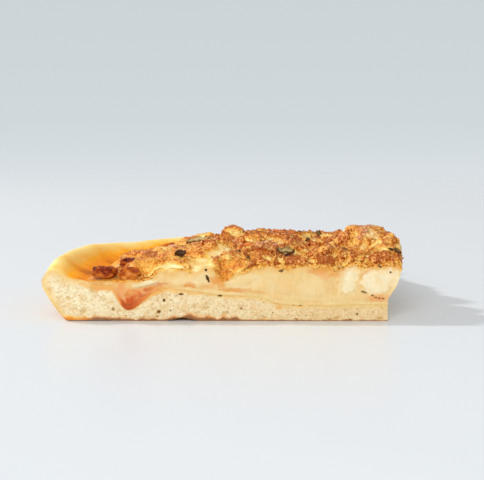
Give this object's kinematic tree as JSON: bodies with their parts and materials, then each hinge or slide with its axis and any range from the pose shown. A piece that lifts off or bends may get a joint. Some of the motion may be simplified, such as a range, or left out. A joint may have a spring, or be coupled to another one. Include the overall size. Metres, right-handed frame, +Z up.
{
  "type": "pizza quarter",
  "caption": "Quarter of a deep pan pizza with a thick rim, cut square, with melted cheese, pale chunks, ham and herbs on tomato sauce.",
  "frame": {"origin": "middle of the square that the quarter fills, on the floor: halfway between the two cuts' common corner and the rim's farthest reach along each cut", "axes": "+X from the rim's end of the front cut to the pizza's middle, -Y out of the front cut, +Z up"},
  "size_m": [0.1577, 0.15, 0.0374],
  "materials": {
    "dough": "soft open crumb with a golden baked rim",
    "sauce": "moist tomato sauce soaked into the dough",
    "cheese": "melted cheese, browned and craggy on top, pale and smooth at the cut",
    "pale_chunk": "moist pale cheese, slightly see-through",
    "ham": "baked ham, dark at the edges"
  },
  "bodies": {
    "root": {"crust": "dough", "sauce": "sauce", "cheese": "cheese", "pale_wedge": "pale_chunk", "pale_chunk_1": "pale_chunk", "pale_chunk_2": "pale_chunk", "pale_chunk_3": "pale_chunk", "pale_chunk_4": "pale_chunk", "pale_chunk_5": "pale_chunk", "pale_sliver": "pale_chunk", "ham_slice": "ham", "ham_piece_1": "ham", "ham_piece_2": "ham", "ham_piece_3": "ham", "ham_piece_4": "ham", "ham_piece_5": "ham", "ham_piece_6": "ham", "ham_piece_7": "ham", "ham_piece_8": "ham"}
  },
  "joints": []
}
